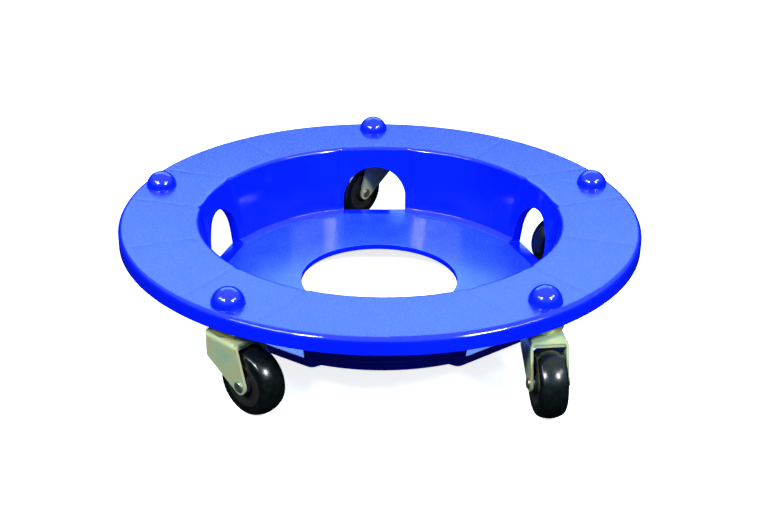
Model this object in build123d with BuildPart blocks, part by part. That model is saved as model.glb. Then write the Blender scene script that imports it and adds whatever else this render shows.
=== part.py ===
"""Drum dolly: a moulded round deck with a recessed well, carried on five swivel casters.

Millimetres, +Z up. The origin is on the floor under the centre of the deck. One caster stands
at the back, on +Y, and the others follow at equal steps. Each caster is modelled once with its
swivel axis at the origin and its wheel trailing towards +X, and is then placed five times.
"""
from build123d import *
import os
from math import asin, cos, degrees, hypot, radians, sin

# ---- deck: driving dimensions ----
deck_diameter = 610.0        # overall, over the lip
lip_height = 18.5            # turned-down edge, from the deck's top
skin = 5.0                   # rim plate, lip and floor thickness
wall = 5.5                   # well wall thickness, measured level
lip_round = 6.0              # outer top edge
rim_round = 5.0              # where the rim rolls into the well
well_flare = 15.0            # well mouth's radius over the floor's
well_depth = 85.5            # rim top to floor top
floor_bevel = 5.0            # band where the well wall meets the floor
skirt_depth = 11.5           # wall continued below the floor's top
hole_radius = 94.0           # drain hole in the floor
hole_edge = 6.7              # depth of the hole's stiffened edge
hole_edge_width = 6.0
sill_drop = 1.0              # window sill below the floor's top
window_width = 82.0
window_top_drop = 26.0       # rim top to the crown of a window's arch
flat_margin = 3.5            # flat left on each side of a window
flat_inset = 2.5             # flat's middle inside the round wall
inner_slope = 1.7            # sideways run of a flat's end for each unit inwards
outer_slope = 0.4            # the same on the outside of the wall
flat_top_step = 1.0          # outside of a flat proud of the round wall, under the rim
flat_skirt_proud = 7.0       # outside of a flat at the skirt's bottom, over the well floor's radius
flat_run = 20.0              # depth that a flat's ends are carried into the round wall
jog_round = 6.0              # blend from the round wall out to a flat
flat_round = 3.0             # blend along the flat's edge
outer_round = 8.0            # the same on the outside of the wall

# ---- deck underside ----
boss_drop = 20.0             # rim top to the face that a caster seats on
boss_margin = 1.0            # boss outside the upper race
rib_drop = 17.0              # rim top to the bottom of a rib
rib_thickness = 4.0
rib_window_gap = 7.0         # window's edge to the middle of the rib beside it

# ---- bumps on the rim ----
bump_radius = 18.5
bump_height = 17.5

# ---- casters ----
caster_count = 5
rim_margin = 26.0            # swivel axis to the deck's outer edge
swing_clearance = 3.0        # wheel to the skirt as it swings past
back_angle = 90.0            # the back caster's place
caster_names = ("back", "left", "front_left", "front_right", "right")
trail_angles = (225.0, 100.0, 316.0, 274.5, 190.5)   # way each wheel trails at rest

wheel_diameter = 75.0
tyre_width = 30.0
tyre_crown = 4.5             # rise of the rounded tread above the tyre's side faces
tyre_edge_round = 6.0
tyre_thickness = 13.5
web_recess = 3.5             # core's web below each side face of the wheel
core_rim = 3.5
hub_radius = 10.5
trail = 34.5                 # swivel axis to axle
side_clearance = 2.5         # wheel face to fork leg

fork_sheet = 2.8
fork_bend = 3.0              # inside radius of the bend from crown to leg
lip_clearance = 1.5          # wheel to the crown's turned-down edge
crown_lip = 7.0              # height of the crown's turned-down edge
crown_front_margin = 1.0     # crown ahead of its raceway
crown_nose_margin = 4.15     # rounded front of the crown, over half the fork's width
crown_back = 30.5            # crown behind the swivel axis
leg_drop = 24.0              # upright part of the leg's front edge
leg_knee_round = 16.0
leg_end_radius = 9.0

axle_radius = 4.0
axle_head_margin = 2.0       # head outside the shank
axle_head_height = 2.4
head_land = 0.4              # straight edge under the head's dome
bushing_wall = 2.0
running_clearance = 0.05

stem_radius = 5.5
stem_height = 28.0           # stem above the seating face
stem_head_margin = 2.5       # head outside the shank
stem_head_height = 2.5
stem_tip = 1.0               # chamfer on the stem's top
stem_clearance = 0.5         # stem to the crown's hole
grip_drop = 8.0              # stem top to the grip ring's top
grip_height = 4.0
grip_depth = 1.2             # groove in the stem
grip_proud = 0.8             # ring outside the stem
grip_gap = 2.0               # slit in the ring

race_gap = 3.5               # crown to the upper race's edge
race_radius = 21.0
race_sheet = 2.0
race_round = 3.0
race_clearance = 1.5         # fork's raceway to the inside of the upper race
ball_diameter = 5.0
ball_headroom = 0.5          # upper balls to the top of the race's inside
ball_clearance = 0.15        # lower balls to the lower race
raceway_lap = 0.5            # fork's raceway inside the upper race's edge
upper_ball_inset = 1.5       # upper balls to the rim of the fork's raceway
lower_ball_margin = 0.85     # hole in the crown to the lower balls
upper_ball_count = 12
lower_ball_diameter = 3.5
lower_ball_count = 10
lower_race_margin = 0.65     # race outside its balls
lower_race_thickness = 1.8

# ---- modelling ----
pick_margin = 0.01           # closeness for picking edges and corners
cut_overlap = 1.0            # overlap of neighbouring cuts

# ---- places that follow from the sizes ----
deck_radius = deck_diameter / 2
caster_circle_radius = deck_radius - rim_margin
wheel_radius = wheel_diameter / 2
swing_radius = trail + wheel_radius
flat_skirt_distance = caster_circle_radius - swing_radius - swing_clearance
well_floor_radius = flat_skirt_distance - flat_skirt_proud
well_top_radius = well_floor_radius + well_flare
rib_offset = window_width / 2 + rib_window_gap
race_height = raceway_lap + ball_diameter + ball_headroom + race_sheet
raceway_radius = race_radius - race_sheet - race_clearance
axle_z = wheel_radius
crown_top = wheel_diameter + lip_clearance + crown_lip
crown_under = crown_top - fork_sheet
race_bottom = crown_top + race_gap
boss_face = race_bottom + race_height
deck_top = boss_face + boss_drop
floor_top = deck_top - well_depth
floor_under = floor_top - skin
skirt_bottom = floor_top - skirt_depth
draft = (well_top_radius - well_floor_radius) / well_depth
caster_step = 360 / caster_count

os.makedirs("parts", exist_ok=True)


def well_radius(z):
    """Inner radius of the well's wall at a height."""
    return well_floor_radius + (z - floor_top) * draft


def well_outline(radius, flat_distance, half_flat, slope):
    """A circle with a flat at each caster, its ends running out of the circle and back in."""
    Circle(radius)
    with PolarLocations(0, caster_count, start_angle=back_angle):
        Polygon(
            (flat_distance, -half_flat),
            (flat_distance, half_flat),
            (flat_distance - flat_run, half_flat + flat_run * slope),
            (flat_distance - flat_run, -half_flat - flat_run * slope),
            align=None,
        )


def round_flats(outline, flat_distance, half_flat, corner_round):
    """Round the corners of a well_outline's flats."""
    corner_distance = hypot(flat_distance, half_flat)
    on_flats = outline.vertices().filter_by(lambda v: hypot(v.X, v.Y) > corner_distance - pick_margin)
    fillet(on_flats, radius=corner_round)


def blend_outline(outline, radius, flat_distance, half_flat):
    """Round a well_outline: where the flats' ends leave the circle, then the flats' corners."""
    on_circle = outline.vertices().filter_by(lambda v: hypot(v.X, v.Y) < radius + pick_margin)
    fillet(on_circle, radius=jog_round)
    round_flats(outline, flat_distance, half_flat, flat_round)


half_flat = window_width / 2 + flat_margin
caster_angles = [back_angle + number * caster_step for number in range(caster_count)]


def radial_plane(angle, height=0.0):
    """A level plane at a height, its X axis pointing outwards at an angle."""
    turned = (cos(radians(angle)), sin(radians(angle)), 0)
    return Plane(origin=(0, 0, height), x_dir=turned, z_dir=(0, 0, 1))


def section_plane(angle):
    """An upright plane through the deck's axis: X outwards at an angle, Y up."""
    outwards = (cos(radians(angle)), sin(radians(angle)), 0)
    sideways = (sin(radians(angle)), -cos(radians(angle)), 0)
    return Plane(origin=(0, 0, 0), x_dir=outwards, z_dir=sideways)


def facing_plane(angle):
    """An upright plane through the deck's axis, looking outwards at an angle, Y up."""
    outwards = (cos(radians(angle)), sin(radians(angle)), 0)
    across = (-sin(radians(angle)), cos(radians(angle)), 0)
    return Plane(origin=(0, 0, 0), x_dir=across, z_dir=outwards)


# ---- deck ----
with BuildPart() as deck:
    # rim plate with its turned-down lip
    with BuildSketch(Plane.XZ) as rim_section:
        with BuildLine():
            Polyline(
                (0, deck_top - skin),
                (0, deck_top),
                (deck_radius, deck_top),
                (deck_radius, deck_top - lip_height),
                (deck_radius - skin, deck_top - lip_height),
                (deck_radius - skin, deck_top - skin),
                close=True,
            )
        make_face()
        top_edge = rim_section.vertices().group_by(Axis.Y)[-1].sort_by(Axis.X)[-1]
        fillet(top_edge, radius=lip_round)
    revolve(axis=Axis.Z)

    # outside of the well's wall
    joined_z = deck_top - skin / 2
    outer_half_flat = half_flat + wall
    skirt_radius = well_radius(skirt_bottom) + wall
    joined_radius = well_radius(joined_z) + wall
    joined_distance = joined_radius + flat_top_step
    outer_levels = (
        (skirt_bottom, skirt_radius, flat_skirt_distance),
        (joined_z, joined_radius, joined_distance),
    )
    for level, radius, distance in outer_levels:
        with BuildSketch(Plane.XY.offset(level)) as level_outline:
            well_outline(radius, distance, outer_half_flat, outer_slope)
            round_flats(level_outline, distance, outer_half_flat, outer_round)
    loft(ruled=True)

    # inside of the well: floor, bevelled corner, wall
    bevel_top = floor_top + floor_bevel
    well_levels = (
        (floor_top, well_floor_radius - floor_bevel),
        (bevel_top, well_radius(bevel_top)),
        (deck_top, well_top_radius),
    )
    for level, radius in well_levels:
        with BuildSketch(Plane.XY.offset(level)) as level_outline:
            flat_distance = radius - flat_inset
            well_outline(radius, flat_distance, half_flat, inner_slope)
            blend_outline(level_outline, radius, flat_distance, half_flat)
    loft(ruled=True, mode=Mode.SUBTRACT)
    mouth_edges = deck.edges().filter_by(
        lambda e: abs(e.position_at(0.5).Z - deck_top) < pick_margin
        and hypot(e.position_at(0.5).X, e.position_at(0.5).Y) < well_top_radius + rim_round * 2
    )
    fillet(mouth_edges, radius=rim_round)

    # underside: recess below the floor, with a stiffened edge round the drain hole
    with BuildSketch(Plane.XY.offset(skirt_bottom)):
        recess_distance = flat_skirt_distance - wall
        well_outline(skirt_radius - wall, recess_distance, half_flat, outer_slope)
        Circle(hole_radius + hole_edge_width, mode=Mode.SUBTRACT)
    extrude(amount=floor_under - skirt_bottom, mode=Mode.SUBTRACT)
    with BuildSketch(Plane.XY.offset(skirt_bottom)):
        Circle(hole_radius + hole_edge_width + cut_overlap)
    extrude(amount=floor_top - hole_edge - skirt_bottom, mode=Mode.SUBTRACT)
    with BuildSketch(Plane.XY.offset(skirt_bottom)):
        Circle(hole_radius)
    extrude(amount=floor_top - skirt_bottom, mode=Mode.SUBTRACT)

    # ribs under the rim: one on each side of a caster and one halfway to the next
    rib_start = well_top_radius
    rib_end = deck_radius - skin / 2
    rib_height = rib_drop - skin / 2
    for angle in caster_angles:
        with BuildSketch(radial_plane(angle, deck_top - rib_drop)):
            for side in (-1, 1):
                reach = (rib_end**2 - rib_offset**2) ** 0.5
                with Locations((rib_start, side * rib_offset)):
                    Rectangle(reach - rib_start, rib_thickness, align=(Align.MIN, Align.CENTER))
        extrude(amount=rib_height)
        with BuildSketch(radial_plane(angle + caster_step / 2, deck_top - rib_drop)):
            with Locations((rib_start, 0)):
                Rectangle(rib_end - rib_start, rib_thickness, align=(Align.MIN, Align.CENTER))
        extrude(amount=rib_height)

    # seats for the casters: a boss below, a bump above and the stem's socket inside
    dome_radius = (bump_radius**2 + bump_height**2) / (2 * bump_height)
    dome_start = degrees(asin((dome_radius - bump_height) / dome_radius))
    for angle in caster_angles:
        with BuildSketch(radial_plane(angle, boss_face)):
            with Locations((caster_circle_radius, 0)):
                Circle(race_radius + boss_margin)
        extrude(amount=boss_drop - skin / 2)
        with BuildSketch(section_plane(angle)):
            with BuildLine():
                Polyline(
                    (caster_circle_radius + bump_radius, deck_top),
                    (caster_circle_radius + bump_radius, deck_top - skin / 2),
                    (caster_circle_radius, deck_top - skin / 2),
                    (caster_circle_radius, deck_top + bump_height),
                )
                CenterArc(
                    (caster_circle_radius, deck_top + bump_height - dome_radius),
                    dome_radius,
                    start_angle=dome_start,
                    arc_size=90 - dome_start,
                )
            make_face()
        seat = radial_plane(angle).from_local_coords((caster_circle_radius, 0))
        revolve(axis=Axis(seat, (0, 0, 1)))
        with BuildSketch(section_plane(angle)):
            with Locations((caster_circle_radius, boss_face)):
                Rectangle(stem_radius, stem_height, align=Align.MIN)
            with Locations((caster_circle_radius, boss_face + stem_height - grip_drop)):
                Rectangle(stem_radius + grip_proud, grip_height, align=(Align.MIN, Align.MAX))
        revolve(axis=Axis(seat, (0, 0, 1)), mode=Mode.SUBTRACT)

    # arched windows
    sill = floor_top - sill_drop
    arch_radius = window_width / 2
    arch_centre = deck_top - window_top_drop - arch_radius
    window_start = well_floor_radius - floor_bevel - flat_inset
    window_run = well_top_radius + wall - window_start
    for angle in caster_angles:
        plane = facing_plane(angle).offset(window_start)
        with BuildSketch(plane):
            with Locations((0, arch_centre)):
                Circle(arch_radius)
            with Locations((0, sill)):
                Rectangle(window_width, arch_centre - sill, align=(Align.CENTER, Align.MIN))
                Rectangle(
                    window_width,
                    window_width,
                    align=(Align.CENTER, Align.MAX),
                    mode=Mode.SUBTRACT,
                )
        extrude(amount=window_run, mode=Mode.SUBTRACT)
deck.part.label = "deck"
export_step(deck.part, "parts/deck.step")

# ---- caster pieces: swivel axis at the origin, wheel trailing towards +X ----
fork_gap = tyre_width + 2 * side_clearance
fork_width = fork_gap + 2 * fork_sheet
crown_front = raceway_radius + crown_front_margin
hole_in_crown = stem_radius + stem_clearance
raceway_top = race_bottom + raceway_lap
upper_ball_circle = raceway_radius - upper_ball_inset - ball_diameter / 2
lower_ball_circle = hole_in_crown + lower_ball_margin + lower_ball_diameter / 2
lower_race_top = crown_under - lower_ball_diameter - ball_clearance

# fork: a channel bent from sheet, cut to the leg's side shape
with BuildPart() as fork:
    with BuildSketch(Plane.YZ.offset(-crown_front)) as channel:
        with Locations((0, crown_top)):
            Rectangle(fork_width, crown_top - axle_z + leg_end_radius, align=(Align.CENTER, Align.MAX))
        fillet(channel.vertices().group_by(Axis.Y)[-1], radius=fork_bend + fork_sheet)
        with BuildSketch(mode=Mode.SUBTRACT) as inside:
            with Locations((0, crown_under)):
                Rectangle(fork_gap, crown_under, align=(Align.CENTER, Align.MAX))
            fillet(inside.vertices().group_by(Axis.Y)[-1], radius=fork_bend)
    extrude(amount=crown_front + trail + leg_end_radius)
    with BuildSketch(Plane.XZ) as side_shape:
        with Locations((trail, axle_z)):
            Circle(leg_end_radius)
        with Locations((-crown_front, crown_top)):
            Rectangle(crown_front + crown_back, leg_drop, align=(Align.MIN, Align.MAX))
        make_hull()
        knee = side_shape.vertices().sort_by(Axis.X).group_by(Axis.X)[0].sort_by(Axis.Y)[0]
        fillet(knee, radius=leg_knee_round)
    extrude(amount=fork_width, both=True, mode=Mode.INTERSECT)
    with BuildSketch(Plane.XY):
        Circle(fork_width / 2 + crown_nose_margin)
        Rectangle(trail + crown_back, fork_width, align=(Align.MIN, Align.CENTER))
    extrude(amount=crown_top, mode=Mode.INTERSECT)
    # turned-down edge across the back of the crown
    with BuildSketch(Plane.YZ.offset(crown_back)):
        with Locations((0, crown_top)):
            Rectangle(fork_gap + fork_sheet, crown_lip, align=(Align.CENTER, Align.MAX))
    extrude(amount=-fork_sheet)
    # raised raceway
    with BuildSketch(Plane.XY.offset(crown_top)):
        Circle(raceway_radius)
    extrude(amount=raceway_top - crown_top)
    with BuildSketch(Plane.XY):
        Circle(hole_in_crown)
    extrude(amount=deck_top, mode=Mode.SUBTRACT)
    with BuildSketch(Plane.XZ):
        with Locations((trail, axle_z)):
            Circle(axle_radius)
    extrude(amount=fork_width, both=True, mode=Mode.SUBTRACT)

# upper race: a shallow cup, open downwards, held against the deck's boss by the stem
with BuildPart() as top_race:
    with BuildSketch(Plane.XZ) as cup:
        with BuildLine():
            Polyline(
                (stem_radius, boss_face),
                (race_radius, boss_face),
                (race_radius, race_bottom),
                (race_radius - race_sheet, race_bottom),
                (race_radius - race_sheet, boss_face - race_sheet),
                (stem_radius, boss_face - race_sheet),
                close=True,
            )
        make_face()
        fillet(cup.vertices().group_by(Axis.Y)[-1].sort_by(Axis.X)[-1], radius=race_round)
    revolve(axis=Axis.Z)

with BuildPart() as upper_balls:
    ball_z = raceway_top + ball_diameter / 2
    with PolarLocations(upper_ball_circle, upper_ball_count):
        with Locations((0, 0, ball_z)):
            Sphere(ball_diameter / 2)

with BuildPart() as lower_balls:
    with PolarLocations(lower_ball_circle, lower_ball_count):
        with Locations((0, 0, crown_under - lower_ball_diameter / 2)):
            Sphere(lower_ball_diameter / 2)

with BuildPart() as lower_race:
    with BuildSketch(Plane.XY.offset(lower_race_top)):
        Circle(lower_ball_circle + lower_ball_diameter / 2 + lower_race_margin)
        Circle(stem_radius, mode=Mode.SUBTRACT)
    extrude(amount=-lower_race_thickness)

# stem: king pin with a riveted head below and a groove for the grip ring above
with BuildPart() as stem:
    stem_top = boss_face + stem_height
    head_top = lower_race_top - lower_race_thickness
    stem_head_radius = stem_radius + stem_head_margin
    groove_top = stem_top - grip_drop
    with BuildSketch(Plane.XZ):
        with BuildLine():
            Polyline(
                (0, head_top - stem_head_height),
                (stem_head_radius, head_top - stem_head_height),
                (stem_head_radius, head_top),
                (stem_radius, head_top),
                (stem_radius, groove_top - grip_height),
                (stem_radius - grip_depth, groove_top - grip_height),
                (stem_radius - grip_depth, groove_top),
                (stem_radius, groove_top),
                (stem_radius, stem_top - stem_tip),
                (stem_radius - stem_tip, stem_top),
                (0, stem_top),
                close=True,
            )
        make_face()
    revolve(axis=Axis.Z)

with BuildPart() as grip_ring:
    with BuildSketch(Plane.XY.offset(groove_top - grip_height)):
        Circle(stem_radius + grip_proud)
        Circle(stem_radius - grip_depth, mode=Mode.SUBTRACT)
        with Locations((stem_radius, 0)):
            Rectangle(stem_radius * 2, grip_gap, mode=Mode.SUBTRACT)
    extrude(amount=grip_height)

# axle: a rivet through both legs, with a domed head outside each
with BuildPart() as axle:
    head_face = fork_width / 2
    with BuildSketch(Plane.XZ):
        with Locations((trail, axle_z)):
            Circle(axle_radius)
    extrude(amount=head_face, both=True)
    for side in (-1, 1):
        with BuildSketch(Plane.XZ.offset(side * head_face)):
            with Locations((trail, axle_z)):
                Circle(axle_radius + axle_head_margin)
        extrude(amount=side * axle_head_height)
    rims = axle.edges().filter_by(GeomType.CIRCLE).group_by(Axis.Y)
    fillet([rims[0], rims[-1]], radius=axle_head_height - head_land)

# bushing: clamped between the legs, the wheel turns on it
with BuildPart() as bushing:
    with BuildSketch(Plane.XZ):
        with Locations((trail, axle_z)):
            Circle(axle_radius + bushing_wall)
            Circle(axle_radius, mode=Mode.SUBTRACT)
    extrude(amount=fork_gap / 2, both=True)

# wheel core: hub, web and rim in one moulding, revolved about the axle
axle_line = Axis((trail, 0, axle_z), (0, 1, 0))
bore_radius = axle_radius + bushing_wall + running_clearance
core_radius = wheel_radius - tyre_thickness
half_tyre = tyre_width / 2
half_web = half_tyre - web_recess
with BuildPart() as wheel_core:
    with BuildSketch(Plane.XY.offset(axle_z)):
        with BuildLine():
            Polyline(
                (trail + bore_radius, -half_tyre),
                (trail + hub_radius, -half_tyre),
                (trail + hub_radius, -half_web),
                (trail + core_radius - core_rim, -half_web),
                (trail + core_radius - core_rim, -half_tyre),
                (trail + core_radius, -half_tyre),
                (trail + core_radius, half_tyre),
                (trail + core_radius - core_rim, half_tyre),
                (trail + core_radius - core_rim, half_web),
                (trail + hub_radius, half_web),
                (trail + hub_radius, half_tyre),
                (trail + bore_radius, half_tyre),
                close=True,
            )
        make_face()
    revolve(axis=axle_line)

# tyre: flat sides and a rounded tread
with BuildPart() as tyre:
    shoulder = trail + wheel_radius - tyre_crown
    with BuildSketch(Plane.XY.offset(axle_z)) as tyre_section:
        with BuildLine():
            Polyline(
                (shoulder, -half_tyre),
                (trail + core_radius, -half_tyre),
                (trail + core_radius, half_tyre),
                (shoulder, half_tyre),
            )
            ThreePointArc(
                (shoulder, half_tyre),
                (trail + wheel_radius, 0),
                (shoulder, -half_tyre),
            )
        make_face()
        ends = tyre_section.vertices().filter_by(lambda v: abs(v.X - shoulder) < pick_margin)
        fillet(ends, radius=tyre_edge_round)
    revolve(axis=axle_line)

caster_pieces = {
    "stem": stem,
    "grip_ring": grip_ring,
    "top_race": top_race,
    "upper_balls": upper_balls,
    "fork": fork,
    "lower_balls": lower_balls,
    "lower_race": lower_race,
    "axle": axle,
    "bushing": bushing,
    "wheel_core": wheel_core,
    "tyre": tyre,
}
for caster, angle, trail_angle in zip(caster_names, caster_angles, trail_angles):
    across = caster_circle_radius * cos(radians(angle))
    along = caster_circle_radius * sin(radians(angle))
    place = Location((across, along, 0), (0, 0, trail_angle))
    for piece_name, piece in caster_pieces.items():
        placed = piece.part.moved(place)
        placed.label = f"{caster}_{piece_name}"
        export_step(placed, f"parts/{caster}_{piece_name}.step")
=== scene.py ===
"""Looks of the drum dolly: a glossy blue moulded deck on five zinc plated swivel casters.

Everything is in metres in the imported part's frame: the origin is on the floor under the deck's
centre, +Z is up and the back caster is on +Y.
"""

from math import cos, pi, radians, sin

import bpy
from mathutils import Matrix, Vector


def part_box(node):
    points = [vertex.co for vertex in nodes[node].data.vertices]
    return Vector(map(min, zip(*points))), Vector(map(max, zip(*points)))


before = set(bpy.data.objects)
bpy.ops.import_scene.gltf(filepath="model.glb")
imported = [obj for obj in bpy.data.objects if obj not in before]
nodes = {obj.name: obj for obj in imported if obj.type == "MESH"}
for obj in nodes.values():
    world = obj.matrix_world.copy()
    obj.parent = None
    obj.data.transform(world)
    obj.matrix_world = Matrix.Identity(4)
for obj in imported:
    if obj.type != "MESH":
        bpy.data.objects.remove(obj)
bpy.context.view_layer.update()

# ---- places read from the frame, and sizes of the deck's moulding ----
DECK_LOW, DECK_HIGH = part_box("deck")
BUMP_HEIGHT = 0.0175
WELL_DEPTH = 0.0855
RIB_OFFSET = 0.048
RIB_START = 0.219
DECK_RADIUS = (DECK_HIGH.x - DECK_LOW.x) / 2
DECK_TOP = DECK_HIGH.z - BUMP_HEIGHT
FLOOR_TOP = DECK_TOP - WELL_DEPTH
CASTERS = ("back", "left", "front_left", "front_right", "right")


# ---- camera ----
def make_camera():
    """Stands in front of the dolly, turned a little to its left, and looks down into the well."""
    bearing = radians(-92.193)
    away = 4.885 * DECK_RADIUS
    above = 2.174 * DECK_RADIUS
    heading, pitch, roll = radians(2.218), radians(26.195), radians(0.683)
    camera_data = bpy.data.cameras.new("camera")
    camera_data.sensor_width = 36
    camera_data.lens = 65.49
    camera_data.clip_end = 100
    camera = bpy.data.objects.new("camera", camera_data)
    bpy.context.scene.collection.objects.link(camera)
    look = (
        Matrix.Rotation(-heading, 4, "Z")
        @ Matrix.Rotation(pi / 2 - pitch, 4, "X")
        @ Matrix.Rotation(roll, 4, "Z")
    )
    place = Vector((away * cos(bearing), away * sin(bearing), DECK_TOP + above))
    camera.matrix_world = Matrix.Translation(place) @ look
    bpy.context.scene.camera = camera


# ---- materials ----
class Shader:
    """A node material under construction: short calls for its nodes and links."""

    def __init__(self, name):
        self.material = bpy.data.materials.new(name)
        self.material.use_nodes = True
        self.tree = self.material.node_tree
        self.tree.nodes.clear()
        self.output = self.node("ShaderNodeOutputMaterial")
        self.surface = self.node("ShaderNodeBsdfPrincipled")
        self.link(self.surface.outputs["BSDF"], self.output.inputs["Surface"])
        self.coordinates = self.node("ShaderNodeTexCoord").outputs["Object"]

    def node(self, kind, **settings):
        made = self.tree.nodes.new(kind)
        for key, value in settings.items():
            setattr(made, key, value)
        return made

    def link(self, source, target):
        self.tree.links.new(source, target)

    def set(self, **values):
        """Sets sockets of the surface shader; an underscore in a name stands for a space."""
        for key, value in values.items():
            self.surface.inputs[key.replace("_", " ")].default_value = value

    def noise(self, scale, detail=3.0, roughness=0.5, source=None):
        made = self.node("ShaderNodeTexNoise")
        made.inputs["Scale"].default_value = scale
        made.inputs["Detail"].default_value = detail
        made.inputs["Roughness"].default_value = roughness
        self.link(source or self.coordinates, made.inputs["Vector"])
        return made.outputs["Fac"]

    def ramp(self, source, *stops):
        """Colour ramp; each stop is a place and a colour or a grey."""
        made = self.node("ShaderNodeValToRGB")
        elements = made.color_ramp.elements
        while len(elements) < len(stops):
            elements.new(0.5)
        for element, (place, colour) in zip(elements, stops):
            element.position = place
            grey = isinstance(colour, (int, float))
            element.color = (colour, colour, colour, 1) if grey else (*colour, 1)
        self.link(source, made.inputs["Fac"])
        return made.outputs["Color"]

    def math(self, operation, first, second=0.0, third=0.0):
        made = self.node("ShaderNodeMath", operation=operation)
        for socket, value in zip(made.inputs, (first, second, third)):
            if isinstance(value, (int, float)):
                socket.default_value = value
            else:
                self.link(value, socket)
        return made.outputs["Value"]

    def mix(self, factor, first, second):
        made = self.node("ShaderNodeMix", data_type="RGBA")
        for name, value in (("Factor", factor), ("A", first), ("B", second)):
            sockets = [s for s in made.inputs if s.name == name and s.enabled]
            if isinstance(value, tuple):
                sockets[0].default_value = (*value, 1)
            elif isinstance(value, (int, float)):
                sockets[0].default_value = value
            else:
                self.link(value, sockets[0])
        return [s for s in made.outputs if s.enabled][0]

    def bump(self, height, distance, strength=1.0, before=None):
        made = self.node("ShaderNodeBump")
        made.inputs["Distance"].default_value = distance
        made.inputs["Strength"].default_value = strength
        self.link(height, made.inputs["Height"])
        if before:
            self.link(before, made.inputs["Normal"])
        return made.outputs["Normal"]

    def finish(self, colour=None, roughness=None, normal=None):
        for name, value in (("Base Color", colour), ("Roughness", roughness), ("Normal", normal)):
            if value is not None:
                self.link(value, self.surface.inputs[name])
        return self.material


def sink_marks(s):
    """Faint lines on the deck's top over the ribs below it, 1 on a line and 0 off it."""
    parts = s.node("ShaderNodeSeparateXYZ")
    s.link(s.coordinates, parts.inputs["Vector"])
    x, y, z = (parts.outputs[axis] for axis in "XYZ")
    around = s.math("ARCTAN2", s.math("MULTIPLY", x, -1), y)
    step = 2 * pi / len(CASTERS)
    turned = s.math("ABSOLUTE", s.math("PINGPONG", around, step / 2))
    reach = s.math("SQRT", s.math("ADD", s.math("MULTIPLY", x, x), s.math("MULTIPLY", y, y)))
    aside = s.math("MULTIPLY", reach, s.math("SINE", turned))
    from_middle = s.math("MULTIPLY", reach, s.math("SINE", s.math("SUBTRACT", step / 2, turned)))
    beside = s.math("ABSOLUTE", s.math("SUBTRACT", aside, RIB_OFFSET))
    nearest = s.math("MINIMUM", beside, from_middle)
    line = s.node("ShaderNodeMapRange", interpolation_type="SMOOTHSTEP")
    line.inputs["From Min"].default_value = 0.0045
    line.inputs["From Max"].default_value = 0.0005
    s.link(nearest, line.inputs["Value"])
    on_rim = s.math("GREATER_THAN", reach, RIB_START)
    on_top = s.math("GREATER_THAN", z, DECK_TOP - 0.001)
    return s.math("MULTIPLY", line.outputs["Result"], s.math("MULTIPLY", on_rim, on_top))


def blue_plastic():
    """Glossy moulded plastic; level faces have a fine grain, the rim's faint sink marks. The well's
    floor gets a painted sheen: a lighter, mottled blue standing in for its lighter reflection.
    """
    s = Shader("blue_plastic")
    s.set(IOR=1.5, Specular_IOR_Level=0.6)
    parts = s.node("ShaderNodeSeparateXYZ")
    s.link(s.coordinates, parts.inputs["Vector"])
    from_top = s.math("ABSOLUTE", s.math("SUBTRACT", parts.outputs["Z"], DECK_TOP))
    from_floor = s.math("ABSOLUTE", s.math("SUBTRACT", parts.outputs["Z"], FLOOR_TOP))
    grained = s.node("ShaderNodeMapRange")
    grained.inputs["From Min"].default_value = 0.0012
    grained.inputs["From Max"].default_value = 0.0002
    s.link(s.math("MINIMUM", from_top, from_floor), grained.inputs["Value"])
    on_flat = grained.outputs["Result"]
    drift = s.noise(9, detail=2)
    plain_blue = s.ramp(drift, (0.3, (0.0006, 0.008, 0.78)), (0.7, (0.0010, 0.012, 0.92)))
    # Painted sheen: the whole well floor is coloured a lighter, mottled blue that stands in for the
    # lighter reflection it shows.
    floor_painted_sheen = s.ramp(s.noise(34, detail=5), (0.3, (0.008, 0.040, 0.82)), (0.7, (0.016, 0.060, 0.90)))
    on_floor = s.math("LESS_THAN", from_floor, 0.0005)
    colour = s.mix(on_floor, plain_blue, floor_painted_sheen)
    grain = s.noise(1100, detail=3, roughness=0.7)
    smooth = s.ramp(s.noise(160, detail=3), (0.3, 0.07), (0.7, 0.11))
    rough = s.ramp(grain, (0.35, 0.15), (0.65, 0.30))
    roughness = s.mix(on_flat, smooth, rough)
    softened = s.node("ShaderNodeBevel", samples=6)
    softened.inputs["Radius"].default_value = 0.0014
    true_normal = s.node("ShaderNodeNewGeometry").outputs["Normal"]
    at_bend = s.math("LESS_THAN", from_floor, 0.008)
    eased = s.mix(at_bend, true_normal, softened.outputs["Normal"])
    wavy = s.bump(s.noise(45, detail=2), 0.0004, strength=0.12, before=eased)
    sunk = s.bump(s.math("MULTIPLY", sink_marks(s), -1), 0.0004, strength=0.3, before=wavy)
    fine = s.bump(s.math("MULTIPLY", grain, on_flat), 0.00014, strength=0.9, before=sunk)
    return s.finish(colour, roughness, fine)


def zinc(name, pale, warm, cool, metal):
    """Plated sheet steel: cloudy iridescent tints and a soft rolled finish."""
    s = Shader(name)
    s.set(Metallic=metal)
    cloud = s.noise(55, detail=4, roughness=0.6)
    tint = s.ramp(cloud, (0.34, warm), (0.5, pale), (0.66, cool))
    speckle = s.noise(900, detail=3)
    roughness = s.ramp(speckle, (0.3, 0.30), (0.7, 0.42))
    normal = s.bump(speckle, 0.00003, strength=0.3)
    return s.finish(tint, roughness, normal)


def black_rubber():
    """Moulded rubber: near black with a soft gloss and faint scuffs."""
    s = Shader("black_rubber")
    s.set(Specular_IOR_Level=0.4)
    scuff = s.noise(140, detail=5, roughness=0.65)
    colour = s.ramp(scuff, (0.35, (0.0015, 0.0025, 0.003)), (0.75, (0.005, 0.0075, 0.0085)))
    roughness = s.ramp(scuff, (0.3, 0.16), (0.75, 0.28))
    normal = s.bump(s.noise(700, detail=2), 0.00004, strength=0.3)
    return s.finish(colour, roughness, normal)


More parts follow.
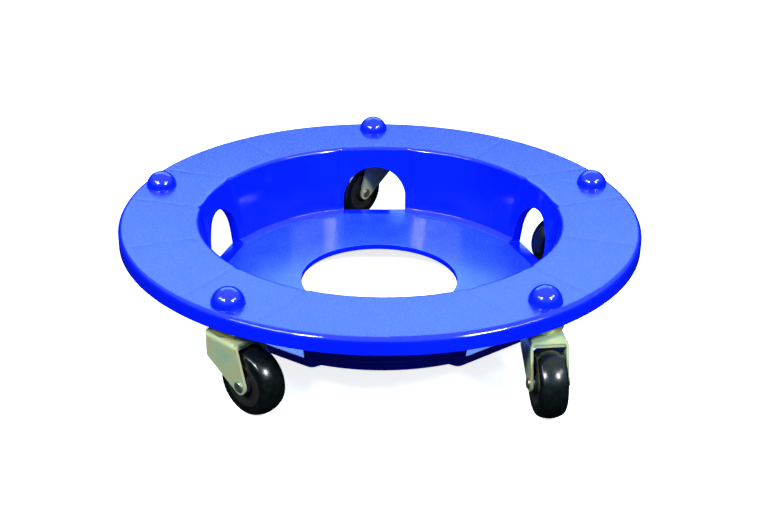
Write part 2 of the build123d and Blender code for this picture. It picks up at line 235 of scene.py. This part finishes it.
def black_plastic():
    """The wheel core's moulding."""
    s = Shader("black_plastic")
    grain = s.noise(900, detail=2)
    colour = s.ramp(grain, (0.3, (0.008, 0.008, 0.009)), (0.7, (0.016, 0.016, 0.018)))
    roughness = s.ramp(grain, (0.3, 0.36), (0.7, 0.48))
    return s.finish(colour, roughness, s.bump(grain, 0.00004, strength=0.4))


def give(node, material):
    """Puts one material on a CAD node."""
    piece = nodes[node]
    piece.data.materials.clear()
    piece.data.materials.append(material)


# ---- light and floor ----
def area_light(name, place, target, size, power, colour=(1, 1, 1)):
    data = bpy.data.lights.new(name, "AREA")
    data.shape = "RECTANGLE"
    data.size, data.size_y = size
    data.energy = power
    data.color = colour
    light = bpy.data.objects.new(name, data)
    light.location = place
    light.rotation_euler = (Vector(target) - Vector(place)).to_track_quat("-Z", "Y").to_euler()
    bpy.context.scene.collection.objects.link(light)


def make_world():
    """Soft white sky over a dark horizon; the camera itself sees plain white."""
    world = bpy.data.worlds.new("studio")
    world.use_nodes = True
    tree = world.node_tree
    background = tree.nodes["Background"]
    coordinates = tree.nodes.new("ShaderNodeTexCoord")
    parts = tree.nodes.new("ShaderNodeSeparateXYZ")
    tree.links.new(coordinates.outputs["Generated"], parts.inputs["Vector"])
    height = tree.nodes.new("ShaderNodeMapRange")
    height.inputs["From Min"].default_value = -1
    tree.links.new(parts.outputs["Z"], height.inputs["Value"])
    ramp = tree.nodes.new("ShaderNodeValToRGB")
    tree.links.new(height.outputs["Result"], ramp.inputs["Fac"])
    backdrop = tree.nodes.new("ShaderNodeMix")
    backdrop.data_type = "RGBA"
    rays = tree.nodes.new("ShaderNodeLightPath")
    tree.links.new(rays.outputs["Is Camera Ray"], backdrop.inputs["Factor"])
    mixed, plain = (socket for socket in backdrop.inputs if socket.type == "RGBA")
    tree.links.new(ramp.outputs["Color"], mixed)
    plain.default_value = (1, 1, 1, 1)
    result = next(socket for socket in backdrop.outputs if socket.type == "RGBA")
    tree.links.new(result, background.inputs["Color"])
    stops = (
        (0.50, (0.008, 0.010, 0.010)),
        (0.62, (0.04, 0.05, 0.05)),
        (0.76, (0.40, 0.80, 1.0)),
        (1.0, (0.85, 0.97, 1.0)),
    )
    while len(ramp.color_ramp.elements) < len(stops):
        ramp.color_ramp.elements.new(0.5)
    for element, (place, colour) in zip(ramp.color_ramp.elements, stops):
        element.position = place
        element.color = (*colour, 1)
    background.inputs["Strength"].default_value = 1.0
    bpy.context.scene.world = world


def make_floor():
    """A plain white floor. It doesn't light the dolly from below."""
    s = Shader("floor_white")
    shade = s.ramp(s.noise(3, detail=1), (0.3, 0.86), (0.7, 0.90))
    s.set(Roughness=0.9, Specular_IOR_Level=0.1, Emission_Strength=0.92)
    s.link(shade, s.surface.inputs["Emission Color"])
    material = s.finish(shade)
    mesh = bpy.data.meshes.new("floor")
    reach = 12.0
    corners = [(-reach, -reach, 0), (reach, -reach, 0), (reach, reach, 0), (-reach, reach, 0)]
    mesh.from_pydata(corners, [], [(0, 1, 2, 3)])
    mesh.materials.append(material)
    floor = bpy.data.objects.new("floor", mesh)
    floor.visible_diffuse = False
    floor.visible_glossy = False
    bpy.context.scene.collection.objects.link(floor)


def make_studio():
    scene = bpy.context.scene
    scene.view_settings.view_transform = "Standard"
    scene.view_settings.look = "None"
    make_world()
    make_floor()
    centre = (0, 0, DECK_TOP)
    area_light("key_left", (-1.0, -1.5, 1.7), centre, (0.32, 0.46), 40)
    area_light("key_right", (1.1, -1.4, 1.5), centre, (0.30, 0.40), 40)
    area_light("strip_left", (-2.0, -1.6, 2.4), centre, (1.9, 0.5), 50, colour=(0.9, 1.0, 1.0))
    area_light("strip_right", (2.0, -1.5, 2.4), centre, (1.9, 0.5), 42, colour=(0.9, 1.0, 1.0))
    area_light("sky_card", (0, 3.6, 2.7), centre, (5.0, 2.2), 95, colour=(0.40, 0.85, 1.0))


make_camera()
make_studio()

BLUE = blue_plastic()
PALE_ZINC = zinc("pale_zinc", (0.50, 0.58, 0.34), (0.56, 0.54, 0.28), (0.40, 0.56, 0.38), 0.35)
YELLOW_ZINC = zinc("yellow_zinc", (0.42, 0.42, 0.14), (0.46, 0.34, 0.10), (0.30, 0.40, 0.17), 0.55)
STEEL = zinc("plain_steel", (0.50, 0.50, 0.50), (0.46, 0.45, 0.43), (0.54, 0.54, 0.56), 0.8)
RIVET = zinc("rivet_steel", (0.34, 0.31, 0.25), (0.42, 0.30, 0.20), (0.24, 0.28, 0.26), 0.9)
RUBBER = black_rubber()
CORE = black_plastic()
FINISHES = {
    "stem": STEEL,
    "grip_ring": STEEL,
    "top_race": YELLOW_ZINC,
    "upper_balls": STEEL,
    "fork": PALE_ZINC,
    "lower_balls": STEEL,
    "lower_race": STEEL,
    "axle": RIVET,
    "bushing": STEEL,
    "wheel_core": CORE,
    "tyre": RUBBER,
}
give("deck", BLUE)
for caster in CASTERS:
    for piece_name, finish in FINISHES.items():
        give(f"{caster}_{piece_name}", finish)
